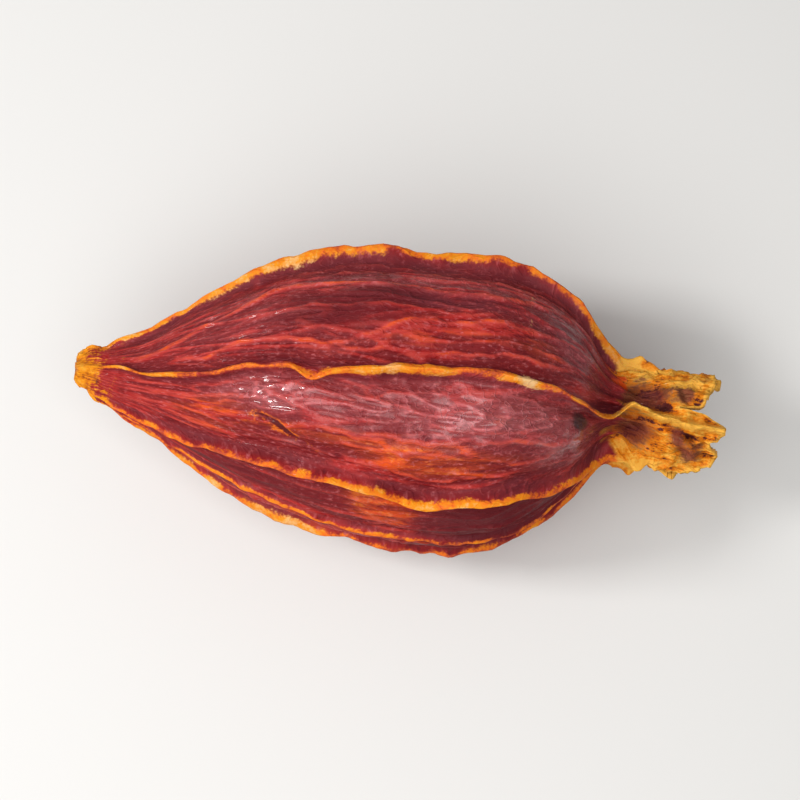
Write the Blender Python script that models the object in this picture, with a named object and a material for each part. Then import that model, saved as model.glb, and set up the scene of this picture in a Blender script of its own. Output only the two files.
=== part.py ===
"""A dried gardenia fruit, lying on its side, as one closed solid.

The fruit lies along X, with its stalk scar at -X and its calyx crown at +X. Its skin is one net of columns,
which run from the scar to the torn rim of the calyx, and rings round the axis. Angles are in degrees round
the axis, from straight up (+Z) towards +Y. The origin is the bottom centre of the bounding box.
"""

import math
from collections import namedtuple

import bmesh
import bpy
from mathutils import Vector

# Lengths along the axis, in metres, counted from the stalk scar
BODY_LENGTH = 0.0272
CALYX_BASE = 0.0276
CALYX_FLOOR = 0.0288
RIM_BASE = 0.0305

# Radius over the crests of the ribs, and in the furrows at their feet
CREST_LINE = (
    (0.0003, 0.00120),
    (0.0013, 0.00138),
    (0.0037, 0.00275),
    (0.0073, 0.00535),
    (0.0108, 0.00710),
    (0.0145, 0.00795),
    (0.0182, 0.00810),
    (0.0215, 0.00795),
    (0.0240, 0.00690),
    (0.0258, 0.00545),
    (0.0271, 0.00375),
    (0.0278, 0.00305),
    (0.0286, 0.00300),
    (0.0300, 0.00290),
    (0.0335, 0.00255),
)
FURROW_LINE = (
    (0.0003, 0.00105),
    (0.0013, 0.00112),
    (0.0037, 0.00222),
    (0.0073, 0.00450),
    (0.0108, 0.00608),
    (0.0145, 0.00690),
    (0.0182, 0.00705),
    (0.0215, 0.00690),
    (0.0240, 0.00585),
    (0.0258, 0.00440),
    (0.0270, 0.00270),
    (0.0276, 0.00212),
    (0.0286, 0.00212),
    (0.0310, 0.00245),
    (0.0335, 0.00235),
)
FULL_RADIUS = 0.0081

# How far the axis strays towards +Y, so that the neck sits off centre
AXIS_LINE = ((0.0, 0.0), (0.0200, 0.0), (0.0274, 0.00055), (0.0300, 0.00030), (0.0335, 0.0))

# The stalk scar: a ring round a small pit
PIT_DEPTH = 0.0006
PIT_RADIUS = 0.00045
PIT_EDGE = 0.0001
SCAR_RADIUS = 0.00095

# Ribs. A path gives the angle at shares of the body's length. The height is a share of the step from furrow
# to crest line, the wave is how far the crest strays, and puff is how full the panel after the rib is. A kink
# is where the drying skin buckled the crest: its place, half its length, how far sideways and how far down.
Rib = namedtuple("Rib", "path height wave puff kinks")
RIBS = (
    Rib(((0.0, -157), (0.5, -158), (1.0, -156)), 1.3, 0.00006, 1.0, ()),
    Rib(((0.0, -104), (0.5, -107), (1.0, -101)), 1.0, 0.00018, 1.0, ((0.0150, 0.0014, 0.0004, 0.0003),)),
    Rib(((0.0, -77), (0.22, -66), (0.35, -67), (0.55, -80), (1.0, -77)), 0.45, 0.0001, 1.0, ()),
    Rib(((0.0, -54), (0.28, -53), (0.4, -44), (0.65, -50), (1.0, -48)), 1.0, 0.00018, 1.1,
        ((0.0118, 0.0010, -0.0003, 0.0002),)),
    Rib(((0.0, -7), (0.2, -7), (0.5, 2), (0.8, 2), (1.0, -7)), 1.0, 0.00022, 1.0,
        ((0.0121, 0.0009, -0.0007, 0.00035), (0.0166, 0.0016, 0.0003, -0.0001))),
    Rib(((0.0, 60), (0.5, 65), (1.0, 60)), 1.05, 0.0002, 1.0,
        ((0.0060, 0.0012, 0.0, 0.0002), (0.0170, 0.0013, 0.0002, 0.00045))),
    Rib(((0.0, 110), (0.5, 113), (1.0, 110)), 0.95, 0.0002, 1.0,
        ((0.0105, 0.0012, -0.0004, 0.0003), (0.0205, 0.0012, 0.0003, 0.0002))),
    Rib(((0.0, 160), (0.5, 160), (1.0, 158)), 1.2, 0.00006, 0.4, ()),
)
RIB_HALF_WIDTH = 0.0007
RIB_TAPER = 0.6
LOW_RIB_WIDTH = 0.3
RIB_SECTION = ((-1.0, 0.0), (-0.55, 0.5), (-0.4, 1.0), (0.4, 1.0), (0.55, 0.5), (1.0, 0.0))

# Lengths of the two waves that make up every irregular line
SLOW_WAVE = 0.0083
QUICK_WAVE = 0.0031

# Puffed panels between the ribs, with one column for each vein and each hollow beside it
COLUMNS_PER_DEGREE = 0.125
PANEL_PUFF = 0.00062
PANEL_ARCH = 2.2
PANEL_DENT = 0.00022
DENT_SLANT = 0.0022
VEIN_HEIGHT = 0.00022

# Calyx: its lobes as (angle, half width in degrees, reach past the base of the rim), and its crumpled wall
LOBES = (
    (56, 46, 0.0023),
    (-41, 46, 0.0030),
    (-112, 24, 0.0010),
    (-166, 30, 0.0021),
    (127, 27, 0.0014),
)
LOBE_BLUNTNESS = 0.6
RAGGED = 0.00028
FOLD_SPREAD = 0.5
CRUMPLE = 0.00038
CRUMPLE_TWIST = 900
BORE_RADIUS = 0.0016
BORE_DISH = 0.0004

# Rings along the body, along the outside of the calyx and along its inside
BODY_RINGS = 38
END_CROWDING = 0.4
CALYX_RINGS = 8
BORE_RINGS = 5

# How much of the two lowest crests is pressed flat where the fruit lies
PRESSED = 0.00035

SKIN_COLOUR = (0.30, 0.045, 0.03, 1.0)
SKIN_ROUGHNESS = 0.5
SHARP_ANGLE = math.radians(50)


def curve(line, x):
    """A smooth line through the points of an outline, level beyond both of its ends."""
    if x <= line[0][0]:
        return line[0][1]
    if x >= line[-1][0]:
        return line[-1][1]
    i = max(k for k in range(len(line) - 1) if line[k][0] <= x)
    slopes = []
    for k in (i, i + 1):
        before = line[max(k - 1, 0)]
        after = line[min(k + 1, len(line) - 1)]
        slopes.append((after[1] - before[1]) / (after[0] - before[0]))
    span = line[i + 1][0] - line[i][0]
    t = (x - line[i][0]) / span
    rise = line[i + 1][1] - line[i][1]
    bend = 3 * rise - (2 * slopes[0] + slopes[1]) * span
    turn = (slopes[0] + slopes[1]) * span - 2 * rise
    return line[i][1] + slopes[0] * span * t + bend * t**2 + turn * t**3


def ripple(x, number):
    """An irregular wave between -1 and 1, with its own course for each number."""
    slow = math.sin(math.tau * (x / SLOW_WAVE + 0.37 * number))
    quick = math.sin(math.tau * (x / QUICK_WAVE + 0.61 * number))
    return 0.6 * slow + 0.4 * quick


def calyx_share(x):
    """How far x is up the tube of the calyx: 0 on the body and 1 from the base of the rim on."""
    return min(1.0, max(0.0, (x - CALYX_BASE) / (RIM_BASE - CALYX_BASE)))


def rib_centre(number, x):
    """The angle of the middle of a rib's foot."""
    return math.radians(curve(RIBS[number].path, min(x / BODY_LENGTH, 1.0)))


def rib_width(number, x):
    """Half the width of a rib's foot, as an angle. Ribs narrow with the fruit, and low ribs are narrow."""
    radius = curve(CREST_LINE, x)
    width = RIB_HALF_WIDTH * (radius / FULL_RADIUS) ** RIB_TAPER * (1 + FOLD_SPREAD * calyx_share(x))
    return width * min(1.0, LOW_RIB_WIDTH + RIBS[number].height) / radius


def rib_point(number, across, up, x):
    """The angle and radius of a point on a rib: across its foot from -1 to 1, and up from 0 to 1."""
    rib = RIBS[number]
    furrow = curve(FURROW_LINE, x)
    crest = curve(CREST_LINE, x)
    wave = rib.wave * crest / FULL_RADIUS
    height = (crest - furrow) * rib.height - 0.5 * wave * (1 + ripple(x, number + 3))
    lean = wave * ripple(x, number)
    for place, half_length, sideways, down in rib.kinks:
        near = math.exp(-(((x - place) / half_length) ** 2))
        lean += sideways * near
        height -= down * near
    angle = rib_centre(number, x) + across * rib_width(number, x) + lean * up / crest
    return angle, furrow + up * height


def panel_point(number, share, vein, x):
    """The angle and radius of a point on the panel after a rib, at a share of the way to the next rib."""
    after = (number + 1) % len(RIBS)
    start = rib_centre(number, x) + rib_width(number, x)
    end = rib_centre(after, x) - rib_width(after, x)
    span = (end - start) % math.tau
    furrow = curve(FURROW_LINE, x)
    full = max(0.0, furrow - BORE_RADIUS) / FULL_RADIUS
    arch = full * (1 - abs(2 * share - 1) ** PANEL_ARCH)
    puff = PANEL_PUFF * RIBS[number].puff * math.sqrt(span)
    dent = PANEL_DENT * ripple(0.6 * x + DENT_SLANT * share, 2 * number)
    relief = VEIN_HEIGHT * full * vein * (0.7 + 0.3 * ripple(x, number + 7 * share))
    return start + share * span, furrow + arch * (puff + dent) + relief


def make_columns():
    """The columns round the fruit: the rule that places each, and what the rule needs besides x."""
    columns = []
    for number in range(len(RIBS)):
        for across, up in RIB_SECTION:
            columns.append((rib_point, number, across, up))
        after = (number + 1) % len(RIBS)
        middle = BODY_LENGTH / 2
        span = math.degrees((rib_centre(after, middle) - rib_centre(number, middle)) % math.tau)
        count = 2 * round(COLUMNS_PER_DEGREE * span / 2) + 1
        for k in range(count):
            vein = 1 if k % 2 else -1
            columns.append((panel_point, number, (k + 1) / (count + 1), vein))
    return columns


def on_column(column, x):
    """The angle and radius of a column at x."""
    rule, number, first, second = column
    return rule(number, first, second, x)


def skin_point(x, angle, radius):
    """A point at a radius from the axis."""
    return Vector((x, curve(AXIS_LINE, x) + radius * math.sin(angle), radius * math.cos(angle)))


def crumple(angle, x):
    """How far the dry wall of the calyx is bent in or out, inside and outside alike."""
    broad = math.sin(3 * angle + CRUMPLE_TWIST * x)
    fine = math.sin(7 * angle - 1.5 * CRUMPLE_TWIST * x)
    return CRUMPLE * calyx_share(x) * (0.6 * broad + 0.4 * fine)


def rim_reach(column):
    """Where a column ends on the torn rim of the calyx."""
    angle = on_column(column, RIM_BASE)[0]
    reach = RIM_BASE
    for centre, half_width, tip in LOBES:
        away = (math.degrees(angle) - centre + 180) % 360 - 180
        reach += tip * max(0.0, 1 - (away / half_width) ** 2) ** LOBE_BLUNTNESS
    torn = 0.6 * math.sin(11 * angle + 1) + 0.4 * math.sin(23 * angle)
    return reach + RAGGED * torn


def body_stations():
    """Where the rings along the body lie, a little closer together at its two ends."""
    first = CREST_LINE[0][0]
    stations = []
    for k in range(BODY_RINGS):
        share = k / (BODY_RINGS - 1)
        crowded = 0.5 - 0.5 * math.cos(math.pi * share)
        eased = share + END_CROWDING * (crowded - share)
        stations.append(first + (BODY_LENGTH - first) * eased)
    return stations


def scar_rings(columns):
    """The rings round the pit of the stalk scar and round its outer edge."""
    angles = [on_column(column, CREST_LINE[0][0])[0] for column in columns]
    pit = [skin_point(PIT_EDGE, angle, PIT_RADIUS) for angle in angles]
    edge = [skin_point(0.0, angle, SCAR_RADIUS) for angle in angles]
    return [pit, edge]


def body_rings(columns):
    """The rings of the ribbed body."""
    return [[skin_point(x, *on_column(column, x)) for column in columns] for x in body_stations()]


def calyx_rings(columns, outside):
    """The rings up the outside of the calyx to its rim, or down its inside to its floor."""
    count = CALYX_RINGS if outside else BORE_RINGS
    base = CALYX_BASE if outside else CALYX_FLOOR
    rims = [rim_reach(column) for column in columns]
    rings = []
    for k in range(count):
        ring = []
        for column, rim in zip(columns, rims):
            x = base + k / (count - 1) * (rim - base)
            angle, radius = on_column(column, x)
            wall = radius if outside else BORE_RADIUS
            ring.append(skin_point(x, angle, wall + crumple(angle, x)))
        rings.append(ring)
    return rings if outside else rings[::-1]


def join_rings(mesh, first, second):
    """A band of triangles between two rings, all split the same way."""
    for k in range(len(first)):
        after = (k + 1) % len(first)
        mesh.faces.new((first[k], second[k], second[after]))
        mesh.faces.new((first[k], second[after], first[after]))


def close_ring(mesh, ring, x, faces_back):
    """A fan of triangles from a ring to a point on the axis."""
    pole = mesh.verts.new((x, curve(AXIS_LINE, x), 0))
    for k, corner in enumerate(ring):
        after = ring[(k + 1) % len(ring)]
        mesh.faces.new((pole, corner, after) if faces_back else (pole, after, corner))


def lay_down(mesh):
    """Presses the two lowest crests flat and puts the origin at the bottom centre of the box."""
    left = min(v.co.z for v in mesh.verts if v.co.y < 0)
    right = min(v.co.z for v in mesh.verts if v.co.y > 0)
    ground = max(left, right) + PRESSED
    for vertex in mesh.verts:
        vertex.co.z = max(vertex.co.z, ground)
    low = [min(v.co[axis] for v in mesh.verts) for axis in range(3)]
    high = [max(v.co[axis] for v in mesh.verts) for axis in range(3)]
    centre = Vector(((low[0] + high[0]) / 2, (low[1] + high[1]) / 2, low[2]))
    bmesh.ops.translate(mesh, verts=mesh.verts, vec=-centre)


def skin_material():
    """Dark red dry skin."""
    material = bpy.data.materials.new("dried_skin")
    material.use_nodes = True
    shader = material.node_tree.nodes["Principled BSDF"]
    shader.inputs["Base Color"].default_value = SKIN_COLOUR
    shader.inputs["Roughness"].default_value = SKIN_ROUGHNESS
    shader.inputs["Metallic"].default_value = 0.0
    return material


def make_fruit():
    """The whole fruit: ribs, panels, stalk scar and calyx grown together."""
    columns = make_columns()
    places = scar_rings(columns) + body_rings(columns)
    places += calyx_rings(columns, True) + calyx_rings(columns, False)
    mesh = bmesh.new()
    rings = [[mesh.verts.new(place) for place in ring] for ring in places]
    for first, second in zip(rings, rings[1:]):
        join_rings(mesh, first, second)
    close_ring(mesh, rings[0], PIT_DEPTH, True)
    close_ring(mesh, rings[-1], CALYX_FLOOR - BORE_DISH, False)
    lay_down(mesh)
    data = bpy.data.meshes.new("dried_fruit")
    mesh.to_mesh(data)
    mesh.free()
    data.materials.append(skin_material())
    data.shade_smooth()
    data.set_sharp_from_angle(angle=SHARP_ANGLE)
    fruit = bpy.data.objects.new("dried_fruit", data)
    bpy.context.scene.collection.objects.link(fruit)


for thing in list(bpy.data.objects):
    bpy.data.objects.remove(thing, do_unlink=True)
make_fruit()
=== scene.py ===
"""The looks of a dried gardenia fruit that lies on its side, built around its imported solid.

The fruit lies along X, with its stalk scar at -X and its calyx crown at +X. Lengths along it are counted
from the stalk scar, and angles go round its axis from straight up (+Z) towards +Y. All sizes are in metres.
"""

import math
import random
from collections import namedtuple

import bmesh
import bpy
import numpy as np
from mathutils import Matrix, Vector, noise


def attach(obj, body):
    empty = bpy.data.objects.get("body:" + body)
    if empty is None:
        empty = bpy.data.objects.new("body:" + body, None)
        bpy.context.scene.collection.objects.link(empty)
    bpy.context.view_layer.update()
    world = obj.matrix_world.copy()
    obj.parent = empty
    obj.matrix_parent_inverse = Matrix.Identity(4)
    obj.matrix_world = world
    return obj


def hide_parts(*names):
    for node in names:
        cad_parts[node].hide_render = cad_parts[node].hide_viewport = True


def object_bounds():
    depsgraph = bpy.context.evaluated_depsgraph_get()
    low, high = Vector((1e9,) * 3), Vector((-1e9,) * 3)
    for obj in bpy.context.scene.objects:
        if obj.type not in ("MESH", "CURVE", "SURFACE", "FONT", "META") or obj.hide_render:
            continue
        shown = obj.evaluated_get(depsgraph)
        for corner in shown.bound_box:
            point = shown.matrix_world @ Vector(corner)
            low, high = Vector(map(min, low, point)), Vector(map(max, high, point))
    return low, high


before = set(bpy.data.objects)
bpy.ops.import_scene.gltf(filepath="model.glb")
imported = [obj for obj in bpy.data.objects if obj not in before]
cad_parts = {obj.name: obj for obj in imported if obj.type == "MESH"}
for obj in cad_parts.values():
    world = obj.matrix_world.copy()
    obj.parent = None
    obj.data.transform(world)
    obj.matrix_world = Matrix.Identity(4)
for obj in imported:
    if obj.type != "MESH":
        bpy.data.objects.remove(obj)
solid_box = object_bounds()


# The skin of the fruit: one dry berry wall, from the stalk scar over the ribbed body and the puckered neck
# to the torn crown of the calyx, and down the inside of the crown. It starts as a tube of columns and rings,
# like a stocking turned in at its top, and its vertices are then moved to where the drying left them.

# Lengths along the axis
BODY_LENGTH = 0.0272
CALYX_BASE = 0.0276
CALYX_FLOOR = 0.0288
RIM_BASE = 0.0305

# Radius over the crests of the ribs, and in the furrows at their feet
CREST_LINE = (
    (0.0000, 0.00066),
    (0.0003, 0.00098),
    (0.0007, 0.00124),
    (0.0015, 0.00168),
    (0.0025, 0.00232),
    (0.0037, 0.00292),
    (0.0073, 0.00535),
    (0.0108, 0.00710),
    (0.0145, 0.00795),
    (0.0182, 0.00810),
    (0.0215, 0.00795),
    (0.0240, 0.00690),
    (0.0258, 0.00545),
    (0.0271, 0.00375),
    (0.0278, 0.00305),
    (0.0286, 0.00300),
    (0.0300, 0.00290),
    (0.0335, 0.00255),
)
FURROW_LINE = (
    (0.0000, 0.00058),
    (0.0003, 0.00088),
    (0.0007, 0.00108),
    (0.0015, 0.00132),
    (0.0025, 0.00180),
    (0.0037, 0.00232),
    (0.0073, 0.00450),
    (0.0108, 0.00608),
    (0.0145, 0.00690),
    (0.0182, 0.00705),
    (0.0215, 0.00690),
    (0.0240, 0.00585),
    (0.0258, 0.00440),
    (0.0270, 0.00270),
    (0.0276, 0.00212),
    (0.0286, 0.00212),
    (0.0310, 0.00240),
    (0.0335, 0.00235),
)
FULL_RADIUS = 0.0081
SMALLEST_STEP = 0.00002

# How far the axis strays towards +Y, and where it lies over the table
AXIS_LINE = (
    (0.0000, -0.00016),
    (0.0030, -0.00036),
    (0.0060, -0.00020),
    (0.0110, 0.00000),
    (0.0200, 0.00000),
    (0.0274, 0.00055),
    (0.0300, 0.00030),
    (0.0335, 0.00000),
)
AXIS_SIDEWAYS = 0.00011056
AXIS_HEIGHT = 0.00749438

# The stalk scar: a knobby ring round a small pit, drawn from the pit's middle outwards as (radius, place).
# Then how high its knobs are, how far apart they lie, where they give out, and where the painted light on
# their tops and the painted shade between them give out.
SCAR_LINE = (
    (0.00010, 0.00062),
    (0.00020, 0.00060),
    (0.00028, 0.00045),
    (0.00036, 0.00015),
    (0.00046, 0.00002),
)
SCAR_KNOB = 0.00034
KNOB_GRAIN = 0.0008
SMALL_KNOB_GRAIN = 0.0003
KNOBS_END = (0.0010, 0.0022)
KNOB_SHADING_END = (0.0010, 0.0018)

# Where the scar's own colour gives out, and how far its knobs and the ribs move that edge
SCAR_COLOUR_END = (0.0002, 0.0024)
SCAR_EDGE_BY_KNOB = 0.0007
SCAR_EDGE_BY_RIB = 0.0006

# Ribs. A path gives the angle at shares of the body's length, and the foot is half the width at full size.
# The height is a share of the step from furrow to crest line, the wave is how far the crest strays, and puff
# is how full the panel after the rib is. A kink is where the drying skin buckled the crest: its place, half
# length, how far sideways and how far down. Swells are where the crest is thick, and gilt is where it is
# pale gold, or thin and dull where it is negative: place, half length, strength.
Rib = namedtuple("Rib", "path foot height wave puff kinks swells gilt")
RIBS = (
    Rib(
        ((0.0, -157), (0.5, -158), (1.0, -156)),
        0.0007, 1.3, 0.00006, 1.0,
        (),
        (),
        ((0.004, 0.003, 0.7),),
    ),
    Rib(
        ((0.0, -122), (0.1, -118), (0.3, -108), (0.5, -107), (0.85, -105), (1.0, -112)),
        0.0009, 1.0, 0.00018, 1.0,
        ((0.0150, 0.0014, 0.0004, 0.0003),),
        ((0.0100, 0.0012, 0.4),),
        ((0.0120, 0.0020, 0.6),),
    ),
    Rib(
        ((0.0, -92), (0.10, -90), (0.22, -79), (0.35, -75), (0.55, -81), (1.0, -90)),
        0.00045, 0.45, 0.0001, 1.0,
        (),
        (),
        (),
    ),
    Rib(
        ((0.0, -62), (0.10, -63), (0.145, -60), (0.19, -56), (0.27, -51), (0.35, -47), (0.45, -45),
         (0.57, -47), (0.64, -51), (0.70, -52), (0.77, -49), (0.86, -51), (0.95, -60), (1.0, -70)),
        0.0008, 1.0, 0.00012, 1.1,
        ((0.0118, 0.0010, -0.0003, 0.0002),),
        ((0.0182, 0.0020, 0.5),),
        ((0.0008, 0.0016, 0.6), (0.0085, 0.0026, -0.35), (0.0184, 0.0022, 0.7), (0.0222, 0.0012, 0.4)),
    ),
    Rib(
        ((0.0, 0), (0.09, 3), (0.13, -3), (0.175, -6), (0.24, -7), (0.33, -2), (0.45, 0), (0.51, -1.5),
         (0.56, -1.5), (0.60, 1), (0.64, 1.5), (0.78, 2), (0.88, -2), (0.95, -7), (1.013, -18), (1.047, -1),
         (1.07, -4), (1.11, -12)),
        0.0008, 1.0, 0.00015, 1.0,
        ((0.0124, 0.0008, -0.0009, 0.00035), (0.0166, 0.0016, 0.0, -0.0001)),
        ((0.0168, 0.0019, 1.5), (0.0214, 0.0008, 0.3)),
        ((0.0026, 0.0014, 0.8), (0.0229, 0.0006, 2.6), (0.0166, 0.0018, 0.7), (0.0300, 0.0034, 1.2)),
    ),
    Rib(
        ((0.0, 60), (0.5, 65), (1.0, 60)),
        0.0014, 1.05, 0.0002, 1.0,
        ((0.0060, 0.0012, 0.0, 0.0002), (0.0172, 0.0014, 0.0002, 0.00020)),
        ((0.0090, 0.0020, 1.2), (0.0026, 0.0016, 0.6)),
        ((0.0020, 0.0020, 0.7), (0.0096, 0.0024, 0.7), (0.0195, 0.0022, 0.5), (0.0245, 0.0018, -0.45),
         (0.0290, 0.0020, 0.6)),
    ),
    Rib(
        ((0.0, 110), (0.5, 113), (1.0, 110)),
        0.0010, 0.95, 0.0002, 1.0,
        ((0.0105, 0.0012, -0.0004, 0.0003), (0.0205, 0.0012, 0.0003, 0.0002)),
        ((0.0150, 0.0016, 0.5),),
        ((0.0160, 0.0020, 0.8), (0.0060, 0.0015, 0.6)),
    ),
    Rib(
        ((0.0, 160), (0.5, 160), (1.0, 158)),
        0.0007, 1.2, 0.00006, 0.4,
        (),
        (),
        ((0.022, 0.003, 0.7),),
    ),
)

# The ribs slim towards both ends, and feet broader than the plain one grow and shrink along these lengths. A
# rib is a narrow blade on a spreading skirt, which has this share of its height.
RIB_TAPER = 0.6
PLAIN_FOOT = 0.0007
BROAD_FEET_START = (0.001, 0.008)
BROAD_FEET_END = (BODY_LENGTH, 0.6 * BODY_LENGTH)
BLADE_EDGE = 0.00032
SKIRT = 0.45

# What makes the crests uneven: nicks in their edge, their sway from side to side and their changing breadth
CREST_NICK = 0.00016
NICK_GRAINS = (0.0011, 0.0005)
NICKS_START = (0.001, 0.004)
CREST_SWAY = 0.0002
SWAY_GRAIN = 0.0012
BREADTH_GRAINS = (0.0017, 0.0006)

# Lengths of the two waves that make up every irregular line
SLOW_WAVE = 0.0083
QUICK_WAVE = 0.0031

# Puffed panels between the ribs
PANEL_PUFF = 0.00062
PANEL_ARCH = 2.2
PANEL_DENT = 0.00022
DENT_SLANT = 0.0022

# Veins run lengthwise in the panels. A path gives the share of the way across its panel at shares of the
# body's length, and the height is a share of the full one. Weaker veins fill every panel in uneven rows.
Vein = namedtuple("Vein", "panel path height")
VEIN_HEIGHT = 0.00020
VEIN_HALF_WIDTH = 0.00014
VEIN_WIGGLE = 0.00013
VEIN_SPACING = 10.5
VEINS_START = (0.0012, 0.0035)
VEINS_END = (0.0268, 0.0276)
VEINS_BY_HAND = (
    Vein(4, ((0.08, 0.08), (0.16, 0.34), (0.22, 0.52), (0.29, 0.64), (0.35, 0.71), (0.42, 0.74),
             (0.49, 0.71), (0.60, 0.68), (0.68, 0.64), (0.75, 0.61), (0.82, 0.69), (0.89, 0.77),
             (0.96, 0.90)), 1.1),
    Vein(4, ((0.17, 0.02), (0.21, 0.13), (0.26, 0.11), (0.30, 0.16), (0.37, 0.16), (0.44, 0.10),
             (0.48, 0.11), (0.57, 0.22), (0.61, 0.29), (0.70, 0.31), (0.80, 0.36), (0.90, 0.42)), 1.0),
    Vein(4, ((0.46, 0.10), (0.55, 0.09), (0.62, 0.05), (0.70, 0.04), (0.78, 0.08), (0.88, 0.13),
             (0.96, 0.2)), 0.8),
    Vein(4, ((0.40, 0.80), (0.49, 0.92), (0.60, 0.97), (0.72, 0.96), (0.82, 0.90), (0.90, 0.84)), 0.8),
    Vein(4, ((0.30, 0.40), (0.42, 0.44), (0.52, 0.47), (0.62, 0.44), (0.72, 0.40), (0.80, 0.46)), 0.6),
    Vein(3, ((0.05, 0.30), (0.17, 0.30), (0.27, 0.14), (0.36, 0.08)), 0.6),
    Vein(3, ((0.06, 0.55), (0.21, 0.78), (0.29, 0.78), (0.38, 0.72)), 0.7),
    Vein(3, ((0.08, 0.45), (0.24, 0.48), (0.36, 0.40), (0.46, 0.36)), 0.6),
    Vein(3, ((0.42, 0.44), (0.56, 0.43), (0.65, 0.48), (0.75, 0.48), (0.89, 0.50), (0.97, 0.5)), 0.9),
    Vein(3, ((0.48, 0.28), (0.56, 0.30), (0.68, 0.37), (0.80, 0.36)), 0.7),
    Vein(3, ((0.59, 0.26), (0.62, 0.16), (0.66, 0.02)), 0.9),
    Vein(3, ((0.50, 0.12), (0.62, 0.10), (0.75, 0.08), (0.88, 0.14)), 0.7),
)

# A net of wrinkles covers the panels and cracks run through the wax. Each follows a noise with grains of one
# size across and another along the fruit. The warp is how far the broad noise draws the others out of line,
# and the relief depth is how high a ridge has to be to lose the painted shade that darkens the hollows.
NET_HEIGHT = 0.00010
NET_HALF_WIDTH = 0.00010
CRACKLE_HEIGHT = 0.00008
BROAD_GRAIN = (0.0014, 0.0040)
NET_GRAIN = (0.0011, 0.0058)
FINE_NET_GRAIN = (0.0007, 0.0030)
CRACKLE_GRAIN = (0.0007, 0.0013)
NET_WARP = 0.0009
RELIEF_DEPTH = 0.00012

# Puckers that gather the skin into the neck
PUCKER = 0.00024
PUCKERS = 15
PUCKERS_START = (0.0240, 0.0272)
PUCKERS_END = (0.0282, 0.0296)

# Creases torn into the drying skin, as veins that go inwards
CREASES = (
    Vein(3, ((0.340, 0.50), (0.37, 0.46), (0.40, 0.37), (0.44, 0.22), (0.485, 0.06)), 1.3),
    Vein(3, ((0.325, 0.36), (0.36, 0.40), (0.40, 0.28), (0.43, 0.20)), 0.8),
    Vein(1, ((0.52, 0.5), (0.60, 0.62), (0.66, 0.60)), 1.2),
    Vein(6, ((0.28, 0.4), (0.34, 0.52), (0.42, 0.56)), 1.5),
)
CREASE_DEPTH = 0.00022

# Patches where the colour changes: glow is orange-red flesh; deep is the darkest red, and painted shadow on
# the lower panels of the near side; wax is a pinkish bloom with a shine, whose pale lilac is partly painted
# sheen; dusk is a purple bruise, partly painted shade near the neck; soot is a dark smudge. Each has its
# panel, its place as a share of the body's length, its share of the way across the panel, its two half
# sizes and its strength.
Patch = namedtuple("Patch", "kind panel place share half_length half_share strength")
PATCHES_BY_HAND = (
    Patch("glow", 4, 0.62, 0.14, 0.13, 0.12, 0.35),
    Patch("glow", 4, 0.76, 0.20, 0.12, 0.12, 0.4),
    Patch("glow", 4, 0.87, 0.28, 0.04, 0.12, 0.9),
    Patch("glow", 3, 0.27, 0.62, 0.08, 0.24, 1.1),
    Patch("glow", 3, 0.28, 0.20, 0.12, 0.20, 0.7),
    Patch("glow", 3, 0.74, 0.20, 0.14, 0.14, 1.1),
    Patch("glow", 3, 0.52, 0.36, 0.20, 0.10, 0.6),
    Patch("glow", 3, 0.64, 0.34, 0.16, 0.18, 1.0),
    Patch("glow", 3, 0.80, 0.70, 0.02, 0.05, 1.2),
    Patch("glow", 2, 0.60, 0.78, 0.055, 0.35, 3.2),
    Patch("glow", 2, 0.22, 0.30, 0.12, 0.10, 0.8),
    Patch("deep", 2, 0.30, 0.50, 0.22, 0.50, 0.8),
    Patch("deep", 2, 0.88, 0.50, 0.20, 0.80, 1.4),
    Patch("deep", 1, 0.86, 0.60, 0.22, 0.60, 1.5),
    Patch("deep", 2, 0.96, 0.40, 0.12, 0.80, 1.5),
    Patch("deep", 4, 0.48, 0.36, 0.18, 0.25, 0.7),
    Patch("deep", 4, 0.60, 0.60, 0.12, 0.10, 0.8),
    Patch("wax", 3, 0.40, 0.78, 0.07, 0.18, 1.7),
    Patch("wax", 3, 0.50, 0.72, 0.08, 0.22, 0.4),
    Patch("wax", 3, 0.76, 0.74, 0.19, 0.27, 1.6),
    Patch("wax", 3, 0.33, 0.85, 0.06, 0.14, 0.9),
    Patch("wax", 3, 0.427, 0.11, 0.015, 0.05, 1.0),
    Patch("wax", 4, 0.31, 0.42, 0.10, 0.25, 0.3),
    Patch("wax", 4, 0.62, 0.78, 0.25, 0.14, 0.55),
    Patch("wax", 4, 0.93, 0.50, 0.06, 0.40, 0.8),
    Patch("wax", 3, 0.93, 0.50, 0.05, 0.40, 0.9),
    Patch("dusk", 4, 0.72, 0.55, 0.12, 0.10, 1.4),
    Patch("dusk", 4, 0.45, 0.85, 0.25, 0.10, 0.5),
    Patch("dusk", 4, 0.94, 0.55, 0.11, 0.60, 0.7),
    Patch("dusk", 3, 0.95, 0.80, 0.020, 0.12, 1.6),
    Patch("dusk", 3, 1.01, 0.50, 0.04, 0.60, 1.1),
    Patch("dusk", 3, 0.84, 0.00, 0.07, 0.10, 0.8),
    Patch("dusk", 3, 0.26, 0.03, 0.06, 0.08, 0.6),
    Patch("soot", 3, 0.950, 0.83, 0.015, 0.14, 1.5),
    Patch("soot", 6, 0.30, 0.60, 0.012, 0.05, 1.2),
)

# Panels that face away, and the kinds of patch that each of them is given by chance
HIDDEN_PANELS = (0, 1, 5, 6, 7)
HIDDEN_KINDS = ("glow", "glow", "glow", "glow", "wax", "wax", "dusk", "dusk", "dusk")

# Purple dusk, partly the flank's own colour and partly painted shade, also lies in the furrow before one
# rib, from a little past the stalk onwards, and painted shade lies all round the neck
DUSKY_RIB = 5
DUSKY_SHARE = (0.72, 0.92)
STALK_DUSK = (0.0, 0.004)
NECK_SHADE = (0.0250, 0.0270)

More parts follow.
